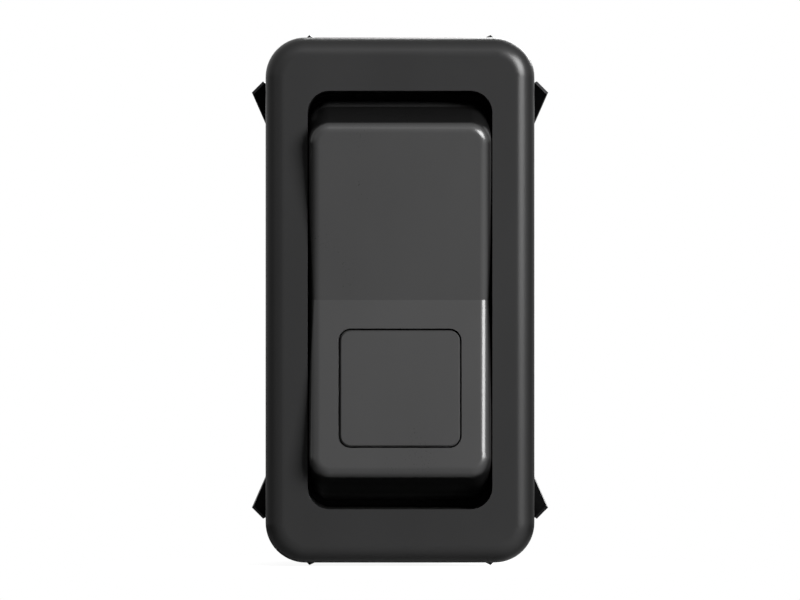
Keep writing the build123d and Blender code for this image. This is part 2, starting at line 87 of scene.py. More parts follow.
Colour = tuple[float, float, float]
Stretch = tuple[float, float, float]


class Rolling(Enum):
    """Direction that the rolling marks of a sheet metal run in, as the noise's stretch along each axis."""

    ALONG_DEPTH = (1.0, 0.06, 1.0)
    ALONG_Z = (1.0, 1.0, 0.06)


class Ray(Enum):
    """Kinds of ray that a Light Path node can tell apart."""

    CAMERA = "Is Camera Ray"
    GLOSSY = "Is Glossy Ray"
    TRANSMISSION = "Is Transmission Ray"


class Graph:
    """A node tree with short ways to add nodes and join them."""

    def __init__(self, tree: bpy.types.NodeTree) -> None:
        """Starts from an existing tree, emptied.

        Args:
            tree: the shader, world or geometry tree to fill.
        """
        self.tree = tree
        self.tree.nodes.clear()

    def connect(self, node: bpy.types.Node, inputs: dict) -> None:
        """Joins or sets some inputs of a node.

        Args:
            node: the node.
            inputs: socket names or numbers, each with a value or with an output socket to join.
        """
        for name, value in inputs.items():
            if isinstance(value, bpy.types.NodeSocket):
                self.tree.links.new(value, node.inputs[name])
            else:
                node.inputs[name].default_value = value

    def add(self, kind: str, inputs: dict | None = None, **settings: object) -> bpy.types.Node:
        """Adds one node.

        Args:
            kind: the node's type name.
            inputs: what its inputs are joined or set to, as in connect.
            settings: properties of the node itself.

        Returns:
            The new node.
        """
        node = self.tree.nodes.new(kind)
        for name, value in settings.items():
            setattr(node, name, value)
        self.connect(node, inputs or {})
        return node

    def work_out(self, operation: str, *values: float | bpy.types.NodeSocket) -> bpy.types.NodeSocket:
        """Works out one sum.

        Args:
            operation: the Math node's operation.
            values: its numbers or output sockets, in order.

        Returns:
            The result's output.
        """
        return self.add("ShaderNodeMath", dict(enumerate(values)), operation=operation).outputs[0]

    def along(self, axis: str, vector: bpy.types.NodeSocket) -> bpy.types.NodeSocket:
        """One component of a vector.

        Args:
            axis: X, Y or Z.
            vector: the vector's output.

        Returns:
            The component's output.
        """
        return self.add("ShaderNodeSeparateXYZ", {"Vector": vector}).outputs[axis]

    def ramp(
        self,
        value: bpy.types.NodeSocket,
        span: tuple[float, float],
        low: float = 0.0,
        high: float = 1.0,
        eased: bool = False,
    ) -> bpy.types.NodeSocket:
        """Maps a span of a value to a range, clamped at both ends.

        Args:
            value: the value's output.
            span: the two values that give low and high.
            low: result at the span's start.
            high: result at its end.
            eased: whether the change starts and ends softly.

        Returns:
            The mapped output.
        """
        inputs = {"Value": value, "From Min": span[0], "From Max": span[1], "To Min": low, "To Max": high}
        kind = "SMOOTHSTEP" if eased else "LINEAR"
        return self.add("ShaderNodeMapRange", inputs, interpolation_type=kind).outputs["Result"]

    def object_place(self, stretch: Stretch = (1.0, 1.0, 1.0)) -> bpy.types.NodeSocket:
        """Object coordinates, stretched.

        Args:
            stretch: scale along X, Y and Z.

        Returns:
            The vector output.
        """
        place = self.add("ShaderNodeTexCoord").outputs["Object"]
        return self.add("ShaderNodeMapping", {"Vector": place, "Scale": stretch}).outputs["Vector"]

    def noise(self, place: bpy.types.NodeSocket, size: float, detail: float = 3.0) -> bpy.types.NodeSocket:
        """Noise of a real size.

        Args:
            place: the coordinates it is read at.
            size: the width of one blotch in metres.
            detail: octaves of finer noise.

        Returns:
            The factor output.
        """
        inputs = {"Vector": place, "Scale": 1 / size, "Detail": detail}
        inputs["Roughness"] = NOISE_ROUGHNESS
        return self.add("ShaderNodeTexNoise", inputs).outputs["Fac"]

    def spread(self, value: bpy.types.NodeSocket, low: float, high: float) -> bpy.types.NodeSocket:
        """Maps the middle of a noise to a range.

        Args:
            value: a noise's factor.
            low: result at the start of the noise's middle.
            high: result at its end.

        Returns:
            The mapped output.
        """
        return self.ramp(value, NOISE_MIDDLE, low, high)

    def between(
        self,
        fac: bpy.types.NodeSocket,
        first: float | bpy.types.NodeSocket,
        second: float | bpy.types.NodeSocket,
    ) -> bpy.types.NodeSocket:
        """Mixes two numbers. The Mix node's sockets share their names, so they go by number.

        Args:
            fac: share of the second number.
            first: number at 0, or an output socket that gives it.
            second: number at 1, or an output socket that gives it.

        Returns:
            The number's output.
        """
        return self.add("ShaderNodeMix", {0: fac, 2: first, 3: second}).outputs[0]

    def blend(
        self, fac: bpy.types.NodeSocket, first: Colour, second: Colour | bpy.types.NodeSocket
    ) -> bpy.types.NodeSocket:
        """Mixes two colours, also by socket numbers.

        Args:
            fac: share of the second colour.
            first: colour at 0.
            second: colour at 1, or an output socket that gives it.

        Returns:
            The colour output.
        """
        if not isinstance(second, bpy.types.NodeSocket):
            second = (*second, 1)
        mix = self.add("ShaderNodeMix", {0: fac, 6: (*first, 1), 7: second}, data_type="RGBA")
        return mix.outputs[2]

    def fade(
        self, fac: bpy.types.NodeSocket, first: bpy.types.NodeSocket, second: bpy.types.NodeSocket
    ) -> bpy.types.NodeSocket:
        """Mixes two shaders.

        Args:
            fac: share of the second shader.
            first: shader at 0.
            second: shader at 1.

        Returns:
            The shader output.
        """
        return self.add("ShaderNodeMixShader", {0: fac, 1: first, 2: second}).outputs["Shader"]

    def bump(self, height: bpy.types.NodeSocket, depth: float) -> bpy.types.NodeSocket:
        """Turns a height into a bent normal.

        Args:
            height: the height, from 0 to 1.
            depth: the real height of 1, in metres.

        Returns:
            The normal output.
        """
        inputs = {"Height": height, "Distance": depth, "Strength": 1.0}
        return self.add("ShaderNodeBump", inputs).outputs["Normal"]


def scaled(colour: Colour, factor: float) -> Colour:
    """Makes a colour darker or lighter.

    Args:
        colour: the colour.
        factor: what each channel is multiplied by.

    Returns:
        The new colour.
    """
    return tuple(channel * factor for channel in colour)


def grey(shade: float) -> tuple[float, float, float, float]:
    """A plain grey for a colour socket.

    Args:
        shade: from 0 for black to 1 for white.

    Returns:
        Red, green, blue and opacity.
    """
    return (shade, shade, shade, 1.0)


@dataclass(frozen=True)
class Finish:
    """What every surface has: a name and a plain shader that its own kind then varies."""

    name: str

    def material(self) -> bpy.types.Material:
        """Builds the material.

        Returns:
            A new node material.
        """
        made = bpy.data.materials.new(self.name)
        made.use_nodes = True
        graph = Graph(made.node_tree)
        shader = graph.add("ShaderNodeBsdfPrincipled")
        self.fill(graph, shader)
        graph.add("ShaderNodeOutputMaterial", {"Surface": shader.outputs["BSDF"]})
        return made

    def fill(self, graph: Graph, shader: bpy.types.Node) -> None:
        """Sets the shader's sockets. Each kind of finish has its own.

        Args:
            graph: the material's graph.
            shader: its Principled shader.
        """
        raise NotImplementedError


@dataclass(frozen=True)
class Moulding(Finish):
    """Injection-moulded plastic with a fine spark-eroded grain and soft flow marks.

    Faces in front of the panel that turn steeply away from the front get a darker base colour: painted
    shade.
    """

    colour: Colour
    roughness: float = 0.4
    specular: float = 0.5
    skin: float = 0.0
    skin_roughness: float = 0.16
    grain_size: float = 0.16 * MM
    grain_depth: float = 0.0001 * MM
    flow_size: float = 7 * MM
    flow_stretch: Stretch = (1.0, 1.0, 0.45)
    detail: float = 2.0
    shade_change: float = 0.03
    gloss_change: float = 0.01
    # Share of the colour kept on steep faces in front of the panel: painted shade, none at 1.
    painted_steep_shade: float = 1.0
    painted_shade_span: tuple[float, float] = (0.55, 0.97)
    rear_haze: float = 0.0

    @staticmethod
    def behind(graph: Graph) -> bpy.types.NodeSocket:
        """Tells what lies behind the panel's front.

        Args:
            graph: the material's graph.

        Returns:
            1 behind the panel's front, 0 before it.
        """
        place = graph.add("ShaderNodeTexCoord").outputs["Object"]
        return graph.work_out("GREATER_THAN", graph.along("Y", place), 0.0)

    def unshaded_share(self, graph: Graph) -> bpy.types.NodeSocket:
        """Tells how much of the full base colour a face keeps: all of it where it faces forward or lies
        behind, less where it turns steeply away, as painted shade.

        Args:
            graph: the material's graph.

        Returns:
            1 where the face keeps its full colour, 0 where it gets the whole painted shade.
        """
        turned = graph.add("ShaderNodeTexCoord").outputs["Normal"]
        forward = graph.work_out("ABSOLUTE", graph.along("Y", turned))
        facing = graph.ramp(forward, self.painted_shade_span, eased=True)
        return graph.work_out("MAXIMUM", facing, self.behind(graph))

    def fill(self, graph: Graph, shader: bpy.types.Node) -> None:
        """Sets colour with painted shade on steep faces, gloss and grain.

        Args:
            graph: the material's graph.
            shader: its Principled shader.
        """
        flow = graph.noise(graph.object_place(self.flow_stretch), self.flow_size, self.detail)
        grain = graph.noise(graph.object_place(), self.grain_size, self.detail)
        darker = scaled(self.colour, 1 - self.shade_change)
        lighter = scaled(self.colour, 1 + self.shade_change)
        tint = graph.blend(graph.spread(flow, 0.0, 1.0), darker, lighter)
        # Steep faces in front of the panel are darkened to a share of the colour: painted shade.
        if self.painted_steep_shade < 1:
            tint = graph.blend(self.unshaded_share(graph), scaled(self.colour, self.painted_steep_shade), tint)
        broad = graph.spread(flow, self.roughness - self.gloss_change, self.roughness + self.gloss_change)
        fine = graph.spread(grain, -self.gloss_change, self.gloss_change)
        gloss = graph.work_out("ADD", broad, fine)
        graph.connect(
            shader,
            {
                "Base Color": tint,
                "Roughness": graph.work_out("MULTIPLY_ADD", self.behind(graph), self.rear_haze, gloss),
                "Normal": graph.bump(grain, self.grain_depth),
                "Specular IOR Level": self.specular,
                "Coat Weight": self.skin,
                "Coat Roughness": self.skin_roughness,
            },
        )


@dataclass(frozen=True)
class SheetMetal(Finish):
    """Rolled and stamped metal with drawn marks along one way and patches of tarnish."""

    colour: Colour
    tarnish: Colour
    roughness: float = 0.3
    metallic: float = 1.0
    rolling: Rolling = Rolling.ALONG_DEPTH
    mark_size: float = 0.12 * MM
    mark_depth: float = 0.0015 * MM
    mark_polish: float = 0.07
    mark_haze: float = 0.09
    patch_size: float = 2.5 * MM
    patch_detail: float = 4.0

    def fill(self, graph: Graph, shader: bpy.types.Node) -> None:
        """Sets colour, gloss and rolling marks.

        Args:
            graph: the material's graph.
            shader: its Principled shader.
        """
        marks = graph.noise(graph.object_place(self.rolling.value), self.mark_size)
        patches = graph.noise(graph.object_place(), self.patch_size, self.patch_detail)
        graph.connect(
            shader,
            {
                "Base Color": graph.blend(graph.spread(patches, 0.0, 1.0), self.colour, self.tarnish),
                "Roughness": graph.spread(
                    marks, self.roughness - self.mark_polish, self.roughness + self.mark_haze
                ),
                "Normal": graph.bump(marks, self.mark_depth),
                "Metallic": self.metallic,
            },
        )


@dataclass(frozen=True)
class ClearPlastic(Finish):
    """Clear moulded plastic with faint ripples."""

    colour: Colour
    roughness: float = 0.08
    ripple_size: float = 1.6 * MM
    ripple_depth: float = 0.004 * MM
    ripple_shade: float = 0.93
    ripple_haze: float = 0.06
    detail: float = 2.0
    clearness: float = 0.85
    refraction: float = 1.49

    def fill(self, graph: Graph, shader: bpy.types.Node) -> None:
        """Sets a tinted, mostly clear body.

        Args:
            graph: the material's graph.
            shader: its Principled shader.
        """
        ripple = graph.noise(graph.object_place(), self.ripple_size, self.detail)
        graph.connect(
            shader,
            {
                "Base Color": graph.blend(ripple, self.colour, scaled(self.colour, self.ripple_shade)),
                "Roughness": graph.spread(ripple, self.roughness, self.roughness + self.ripple_haze),
                "Normal": graph.bump(ripple, self.ripple_depth),
                "Transmission Weight": self.clearness,
                "IOR": self.refraction,
            },
        )


@dataclass(frozen=True)
class Laminate(Finish):
    """Lacquered board with the weave of its glass cloth showing through."""

    lacquer: Colour
    cloth: Colour
    thread: float = 0.4 * MM
    thread_sway: float = 0.4
    weave_depth: float = 0.006 * MM
    threads_per_cloud: int = 3
    glossiest: float = 0.25
    dullest: float = 0.4

    def fill(self, graph: Graph, shader: bpy.types.Node) -> None:
        """Sets the woven tint and the lacquer's gloss.

        Args:
            graph: the material's graph.
            shader: its Principled shader.
        """
        place = graph.object_place()
        bands = []
        for direction in ("X", "Z"):
            inputs = {"Vector": place, "Scale": WAVE_LENGTH / self.thread, "Distortion": self.thread_sway}
            wave = graph.add("ShaderNodeTexWave", inputs, bands_direction=direction)
            bands.append(wave.outputs["Fac"])
        weave = graph.work_out("MULTIPLY", *bands)
        clouds = graph.noise(place, self.threads_per_cloud * self.thread)
        graph.connect(
            shader,
            {
                "Base Color": graph.blend(weave, self.lacquer, self.cloth),
                "Roughness": graph.spread(clouds, self.glossiest, self.dullest),
                "Normal": graph.bump(weave, self.weave_depth),
            },
        )


# The bezel and the rocker darken their steep faces to 0.15 of their colour: painted shade.
BEZEL_BLACK = Moulding(
    "bezel_nylon", (0.0295, 0.0295, 0.0298), roughness=0.32, specular=0.38, painted_steep_shade=0.15, rear_haze=0.2
)
BASE_BLACK = Moulding("base_nylon", (0.022, 0.022, 0.0225), roughness=0.5, grain_depth=0.002 * MM)
ROCKER_BLACK = Moulding(
    "rocker_nylon", (0.0605, 0.0605, 0.0609), roughness=0.29, specular=0.47, skin=0.3, painted_steep_shade=0.15
)
LENS_BLACK = Moulding("lens_nylon", (0.0578, 0.0578, 0.0582), roughness=0.29, specular=0.47, skin=0.25)
PLUNGER_WHITE = Moulding("plunger_nylon", (0.72, 0.7, 0.64), roughness=0.38, specular=0.5)
CLIP_STEEL = SheetMetal("blackened_spring_steel", (0.05, 0.05, 0.054), (0.028, 0.027, 0.027), 0.36)
WIRE_STEEL = SheetMetal("spring_wire", (0.55, 0.55, 0.56), (0.42, 0.42, 0.43), 0.28, mark_size=0.05 * MM)
TINNED_BRASS = SheetMetal(
    "tinned_brass", (0.74, 0.72, 0.66), (0.68, 0.64, 0.55), 0.34, metallic=0.7, mark_depth=0.0006 * MM
)
COPPER = SheetMetal("bare_copper", (0.78, 0.42, 0.26), (0.6, 0.3, 0.18), 0.3, rolling=Rolling.ALONG_Z)
SILVER = SheetMetal("silver_contact", (0.82, 0.81, 0.78), (0.66, 0.63, 0.56), 0.24, mark_size=0.08 * MM)
SOLDER = SheetMetal("solder", (0.66, 0.67, 0.68), (0.5, 0.51, 0.52), 0.25, mark_size=0.3 * MM)
CLEAR_GUIDE = ClearPlastic("clear_guide", (0.93, 0.94, 0.95))
LAMP_EPOXY = ClearPlastic("lamp_epoxy", (0.85, 0.88, 0.8), roughness=0.12)
BOARD_GREEN = Laminate("board_laminate", (0.02, 0.11, 0.05), (0.035, 0.17, 0.08))
CHIP_COAT = Moulding("chip_coat", (0.03, 0.028, 0.03), roughness=0.3, specular=0.5)


def put_in_scene(name: str, mesh: bpy.types.Mesh, material: bpy.types.Material) -> bpy.types.Object:
    """Makes an object of a finished mesh, at the origin.

    Args:
        name: the piece's name.
        mesh: its mesh, with its place in it.
        material: its one material.

    Returns:
        The new object.
    """
    mesh.materials.clear()
    mesh.materials.append(material)
    piece = bpy.data.objects.new(name, mesh)
    bpy.context.scene.collection.objects.link(piece)
    return piece


def round_off(
    shape: bmesh.types.BMesh, edges: list[bmesh.types.BMEdge], radius: float, steps: int
) -> None:
    """Rounds some edges.

    Args:
        shape: the mesh that is changed.
        edges: its edges to round.
        radius: how far the rounding reaches from each edge, in metres.
        steps: faces across each rounding.
    """
    bmesh.ops.bevel(
        shape, geom=edges, offset=radius, segments=steps, profile=0.5, affect="EDGES", clamp_overlap=True
    )


def sharpen_fold(mesh: bpy.types.Mesh) -> None:
    """Keeps a fold in the plane z = 0 sharp, which turns too little to be found by its angle.

    Args:
        mesh: the mesh that is changed.
    """
    for edge in mesh.edges:
        if all(abs(mesh.vertices[index].co.z) < WELD_DISTANCE for index in edge.vertices):
            edge.use_edge_sharp = True


def softened_copy(node: str, edge_radius: float, sharp_above: float, bend_radius: float) -> bpy.types.Mesh:
    """Copies a CAD node's mesh, welds it and rounds its sharp edges a little.

    Args:
        node: the CAD node.
        edge_radius: how far each sharp edge is rounded, in metres, or 0 to leave it.
        sharp_above: edges that turn more than this are rounded, in degrees.
        bend_radius: how far the bends of a folded sheet are rounded, in metres, or 0 if it has none.

    Returns:
        The new mesh, shaded smooth between its sharp edges.
    """
    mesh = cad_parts[node].data.copy()
    mesh.name = f"{node}_softened"
    shape = bmesh.new()
    shape.from_mesh(mesh)
    bmesh.ops.remove_doubles(shape, verts=shape.verts, dist=WELD_DISTANCE)
    bmesh.ops.dissolve_limit(shape, angle_limit=FLAT_ANGLE, verts=shape.verts, edges=shape.edges)
    if bend_radius:
        folded = [e for e in shape.edges if e.is_manifold and e.calc_length() > SHORTEST_BEND]
        bends = [e for e in folded if FLATTEST_BEND < e.calc_face_angle(0) < SHARPEST_BEND]
        round_off(shape, bends, bend_radius, BEND_STEPS)
    if edge_radius:
        closed = [e for e in shape.edges if e.is_manifold]
        corners = [e for e in closed if e.calc_face_angle(0) > math.radians(sharp_above)]
        round_off(shape, corners, edge_radius, EDGE_STEPS)
    for face in shape.faces:
        face.smooth = True
    shape.to_mesh(mesh)
    shape.free()
    mesh.set_sharp_from_angle(angle=CREASE_ANGLE)
    return mesh


def dress(
    node: str,
    body: str,
    slot: str,
    finish: Finish,
    edge_radius: float = 0.05 * MM,
    sharp_above: float = 25.0,
    bend_radius: float = 0.0,
    folded: bool = False,
) -> bpy.types.Object:
    """Replaces a CAD node by its softened copy in a finish.

    Args:
        node: the CAD node.
        body: the CAD body that it rides on.
        slot: the record's material slot; not used.
        finish: the finish that it gets.
        edge_radius: rounding of its sharp edges in metres.
        sharp_above: edges that turn more than this are rounded, in degrees.
        bend_radius: rounding of a folded sheet's bends in metres.
        folded: whether it has a shallow fold across its middle that stays sharp.

    Returns:
        The new piece.
    """
    mesh = softened_copy(node, edge_radius, sharp_above, bend_radius)
    if folded:
        sharpen_fold(mesh)
    piece = put_in_scene(f"{node}_piece", mesh, finish.material())
    weighted = piece.modifiers.new("flat faces stay flat", "WEIGHTED_NORMAL")
    weighted.mode = "FACE_AREA"
    weighted.weight = FULL_WEIGHT
    weighted.keep_sharp = True
    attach(piece, body)
    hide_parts(node)
    LOG.info("%s: %d faces, %s", piece.name, len(piece.data.polygons), finish.name)
    return piece


class GeometryTree:
    """A Geometry Nodes tree with named inputs, run once on a piece and turned into a plain mesh."""

    def __init__(self, name: str) -> None:
        """Makes an empty tree with a geometry output.

        Args:
            name: the tree's name.
        """
        self.tree = bpy.data.node_groups.new(name, "GeometryNodeTree")
        self.graph = Graph(self.tree)
        self.tree.interface.new_socket("Geometry", in_out="INPUT", socket_type="NodeSocketGeometry")
        self.tree.interface.new_socket("Geometry", in_out="OUTPUT", socket_type="NodeSocketGeometry")
        self.values: dict[str, object] = {}

    def size(self, name: str, value: float, kind: str = "NodeSocketFloat") -> None:
        """Adds a named input.

        Args:
            name: the input's name.
            value: what the modifier sets it to.
            kind: the socket's type.
        """
        socket = self.tree.interface.new_socket(name, in_out="INPUT", socket_type=kind)
        self.values[socket.identifier] = value

    def inputs(self) -> bpy.types.Node:
        """Adds the group's input node, once all inputs are named.

        Returns:
            The input node.
        """
        return self.graph.add("NodeGroupInput")

    def copies(self, points: bpy.types.NodeSocket, shape: bpy.types.NodeSocket) -> bpy.types.NodeSocket:
        """Sets a copy of a shape on each point.

        Args:
            points: the points.
            shape: the shape.

        Returns:
            The copies.
        """
        inputs = {"Points": points, "Instance": shape}
        return self.graph.add("GeometryNodeInstanceOnPoints", inputs).outputs["Instances"]

    def tube(
        self, path: bpy.types.NodeSocket, radius: bpy.types.NodeSocket, sides: int, capped: bool = False
    ) -> bpy.types.NodeSocket:
        """Runs a round wire along a curve.

        Args:
            path: the curve.
            radius: the wire's radius.
            sides: faces round the wire.
            capped: whether its two ends are closed.

        Returns:
            The wire.
        """
        inputs = {"Resolution": sides, "Radius": radius}
        wire = self.graph.add("GeometryNodeCurvePrimitiveCircle", inputs).outputs["Curve"]
        inputs = {"Curve": path, "Profile Curve": wire, "Fill Caps": capped}
        return self.graph.add("GeometryNodeCurveToMesh", inputs).outputs["Mesh"]

    def place(self, shape: bpy.types.NodeSocket, centre: Vector, turn: float) -> bpy.types.NodeSocket:
        """Turns a shape about X and moves it to its place.

        Args:
            shape: the shape, round the origin.
            centre: where its origin goes.
            turn: the angle about X, in radians.

        Returns:
            The placed shape.
        """
        inputs = {"Geometry": shape, "Translation": centre, "Rotation": (turn, 0, 0)}
        return self.graph.add("GeometryNodeTransform", inputs).outputs["Geometry"]

    def mesh(
        self, name: str, result: bpy.types.NodeSocket, material: bpy.types.Material
    ) -> bpy.types.Mesh:
        """Ends the tree, evaluates it and keeps the plain mesh.

        Args:
            name: the mesh's name.
            result: the last geometry socket.
            material: the material set inside the tree.

        Returns:
            The evaluated mesh.
        """
        whole = self.graph.add("GeometryNodeRealizeInstances", {"Geometry": result}).outputs["Geometry"]
        smooth = self.graph.add("GeometryNodeSetShadeSmooth", {"Geometry": whole}).outputs["Geometry"]
        dressed = self.graph.add("GeometryNodeSetMaterial", {"Geometry": smooth, "Material": material})
        self.graph.add("NodeGroupOutput", {"Geometry": dressed.outputs["Geometry"]})
        carrier = bpy.data.objects.new(f"{name}_carrier", bpy.data.meshes.new(f"{name}_carrier"))
        bpy.context.scene.collection.objects.link(carrier)
        modifier = carrier.modifiers.new("build", "NODES")
        modifier.node_group = self.tree
        for identifier, value in self.values.items():
            modifier[identifier] = value
        depsgraph = bpy.context.evaluated_depsgraph_get()
        mesh = bpy.data.meshes.new_from_object(carrier.evaluated_get(depsgraph), depsgraph=depsgraph)
        mesh.name = name
        bpy.data.objects.remove(carrier)
        return mesh


@dataclass(frozen=True)
class SpotRow:
    """Equal round spots standing on a face in a row. Their sides bow in or out by one rule."""

    name: str
    pitch: Vector
    foot_radius: float
    top_radius: float
    height: float
    bow: float
    count: int = 2
    sides: int = 28
    rings: int = 8

    def build(
        self, centre: Vector, turn: float, body: str, slot: str, finish: Finish
    ) -> bpy.types.Object:
        """Makes the row.

        Args:
            centre: the middle of the row, on the face that it stands on.
            turn: the angle about X that stands the spots up, in radians.
            body: the CAD body that it rides on.
            slot: the record's material slot; not used.
            finish: the finish that it gets.

        Returns:
            The row as one piece.
        """
        tree = GeometryTree(self.name)
        tree.size("Foot Radius", self.foot_radius)
        tree.size("Top Radius", self.top_radius)
        tree.size("Height", self.height)
        tree.size("Bow", self.bow)
        tree.size("Pitch", self.pitch, "NodeSocketVector")
        sizes = tree.inputs().outputs
        graph = tree.graph
        spot = graph.add(
            "GeometryNodeMeshCone",
            {
                "Vertices": self.sides,
                "Side Segments": self.rings,
                "Radius Top": sizes["Top Radius"],
                "Radius Bottom": sizes["Foot Radius"],
                "Depth": sizes["Height"],
            },
        ).outputs["Mesh"]
        place = graph.add("GeometryNodeInputPosition").outputs["Position"]
        share = graph.work_out("DIVIDE", graph.along("Z", place), sizes["Height"])
        arch = graph.work_out("SINE", graph.work_out("MULTIPLY", share, math.pi))
        swell = graph.work_out("MULTIPLY_ADD", arch, sizes["Bow"], 1.0)
        factor = graph.add("ShaderNodeCombineXYZ", {"X": swell, "Y": swell, "Z": 1.0}).outputs["Vector"]
        bowed = graph.add("ShaderNodeVectorMath", {0: place, 1: factor}, operation="MULTIPLY")
        inputs = {"Geometry": spot, "Position": bowed.outputs["Vector"]}
        spot = graph.add("GeometryNodeSetPosition", inputs).outputs["Geometry"]
        inputs = {0: sizes["Pitch"], "Scale": -(self.count - 1) / 2}
        start = graph.add("ShaderNodeVectorMath", inputs, operation="SCALE").outputs["Vector"]
        inputs = {"Count": self.count, "Start Location": start, "Offset": sizes["Pitch"]}
        line = graph.add("GeometryNodeMeshLine", inputs).outputs["Mesh"]
        row = tree.place(tree.copies(line, spot), centre, turn)
        material = finish.material()
        mesh = tree.mesh(self.name, row, material)
        mesh.set_sharp_from_angle(angle=RIM_ANGLE)
        piece = put_in_scene(self.name, mesh, material)
        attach(piece, body)
        LOG.info("%s: %d faces, %s", piece.name, len(mesh.polygons), finish.name)
        return piece


@dataclass
class EjectorMarks:
    """Round witness marks that the mould's ejector pins leave on the base's rear face, in a grid."""

    columns: int = 2
    rows: int = 3
    grid_width: float = 16.4 * MM
    grid_height: float = 24 * MM
    pin_radius: float = 1.0 * MM
    flash_radius: float = 0.05 * MM
    boss_height: float = 1.6 * MM
    sides: int = 40
    flash_sides: int = 10

    def build(self) -> bpy.types.Object:
        """Sets one ring at each point of the grid.

        Returns:
            All marks as one piece.
        """
        tree = GeometryTree("ejector_marks")
        tree.size("Grid Width", self.grid_width)
        tree.size("Grid Height", self.grid_height)
        tree.size("Pin Radius", self.pin_radius)
        tree.size("Flash Radius", self.flash_radius)
        sizes = tree.inputs().outputs
        graph = tree.graph
        points = graph.add(
            "GeometryNodeMeshGrid",
            {
                "Size X": sizes["Grid Width"],
                "Size Y": sizes["Grid Height"],
                "Vertices X": self.columns,
                "Vertices Y": self.rows,
            },
        ).outputs["Mesh"]
        inputs = {"Resolution": self.sides, "Radius": sizes["Pin Radius"]}
        path = graph.add("GeometryNodeCurvePrimitiveCircle", inputs).outputs["Curve"]
        ring = tree.tube(path, sizes["Flash Radius"], self.flash_sides)
        rear = Vector((0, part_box("terminal_base")[1].y - self.boss_height, 0))
        marks = tree.place(tree.copies(points, ring), rear, math.pi / 2)
        material = BASE_BLACK.material()
        mesh = tree.mesh("ejector_marks", marks, material)
        piece = put_in_scene("ejector_marks", mesh, material)
        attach(piece, "switch_body")
        LOG.info("%s: %d faces", piece.name, len(mesh.polygons))
        return piece


@dataclass
class SwitchBody:
    """The two mouldings that stay still: the bezel with its sleeve, and the terminal base."""

    marks: EjectorMarks = field(default_factory=EjectorMarks)
    bezel_edge: float = 0.07 * MM
    base_edge: float = 0.06 * MM

    def build(self) -> list[bpy.types.Object]:
        """Dresses both mouldings and marks the base.

        Returns:
            The three pieces.
        """
        return [
            dress("housing", "switch_body", "black_nylon", BEZEL_BLACK, self.bezel_edge),
            dress("terminal_base", "switch_body", "base_nylon", BASE_BLACK, self.base_edge),
            self.marks.build(),
        ]


@dataclass
class Rocker:
    """The dished rocker with its lens and light guide."""

    cap_edge: float = 0.04 * MM
    cap_sharp_above: float = 40.0
    lens_edge: float = 0.03 * MM
    lens_sharp_above: float = 60.0

    def build(self) -> list[bpy.types.Object]:
        """Dresses the moving pieces that show from the front.

        Returns:
            The three pieces.
        """
        cap = (self.cap_edge, self.cap_sharp_above)
        lens = (self.lens_edge, self.lens_sharp_above)
        return [
            dress("rocker_cap", "rocker", "rocker_black", ROCKER_BLACK, *cap, folded=True),
            dress("rocker_lens", "rocker", "lens_black", LENS_BLACK, *lens),
            dress("light_guide", "rocker", "clear_guide", CLEAR_GUIDE, self.lens_edge),
        ]


@dataclass
class PlungerSpring:
    """Round-wire compression spring, wound along the barrel at an even pitch."""

    wire_radius: float = 0.2 * MM
    turns: float = 5.0
    steps_per_turn: int = 40
    wire_sides: int = 14
    plunger_travel: float = 1.4 * MM

    def build(self) -> bpy.types.Object:
        """Winds the wire along a spiral between the coil's two seats.

        Returns:
            The spring.
        """
        low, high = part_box("plunger_spring")
        coil_radius = (high.x - low.x) / 2 - self.wire_radius
        tree = GeometryTree("wound_spring")
        tree.size("Coil Radius", coil_radius)
        tree.size("Free Height", high.y - low.y - 2 * self.wire_radius)
        tree.size("Turns", self.turns)
        tree.size("Wire Radius", self.wire_radius)
        sizes = tree.inputs().outputs
        graph = tree.graph
        spiral = graph.add(
            "GeometryNodeCurveSpiral",
            {
                "Resolution": self.steps_per_turn,
                "Rotations": sizes["Turns"],
                "Start Radius": sizes["Coil Radius"],
                "End Radius": sizes["Coil Radius"],
                "Height": sizes["Free Height"],
            },
        ).outputs["Curve"]
        wire = tree.tube(spiral, sizes["Wire Radius"], self.wire_sides, capped=True)
        centre = Vector(((low.x + high.x) / 2, low.y + self.wire_radius, (low.z + high.z) / 2))
        material = WIRE_STEEL.material()
        mesh = tree.mesh("wound_spring", tree.place(wire, centre, -math.pi / 2), material)
        spring = put_in_scene("plunger_spring_piece", mesh, material)
        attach(spring, "rocker")
        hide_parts("plunger_spring")
        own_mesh(spring)
        LOG.info("%s: %d faces", spring.name, len(spring.data.polygons))
        return spring


@dataclass
class Works:
    """Plunger, see-saw arm and the four contact rivets, with the tails of the arm's two."""

    spring: PlungerSpring = field(default_factory=PlungerSpring)
    edge: float = 0.05 * MM
    arm_thickness: float = 0.8 * MM
    tail_radius: float = 0.75 * MM
    tail_top_radius: float = 0.375 * MM
    tail_height: float = 0.2 * MM
    tail_bow: float = 0.12

    def rivet_tails(self) -> bpy.types.Object:
        """Heads the tails of the arm's two contacts over on its front side.

        Returns:
            Both tails as one piece.
        """
        low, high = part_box("arm_contact_upper")
        lower_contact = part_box("arm_contact_lower")
        spacing = (low.z + high.z - lower_contact[0].z - lower_contact[1].z) / 2
        tail = (self.tail_radius, self.tail_top_radius, self.tail_height, self.tail_bow)
        row = SpotRow("rivet_tails", Vector((0, spacing, 0)), *tail)
        centre = Vector(((low.x + high.x) / 2, low.y - self.arm_thickness, 0))
        return row.build(centre, math.pi / 2, "contact_arm", "silver_contact", SILVER)

    def build(self) -> list[bpy.types.Object]:
        """Dresses the works, the moving ones on their own bodies.

        Returns:
            The pieces.
        """
        pieces = [
            dress("plunger", "plunger", "white_nylon", PLUNGER_WHITE, self.edge),
            dress("contact_arm", "contact_arm", "bare_copper", COPPER, self.edge),
            self.spring.build(),
            self.rivet_tails(),
        ]
        for end in ("upper", "lower"):
            for kind, body in (("arm", "contact_arm"), ("fixed", "switch_body")):
                node = f"{kind}_contact_{end}"
                pieces.append(dress(node, body, "silver_contact", SILVER, self.edge))
        return pieces


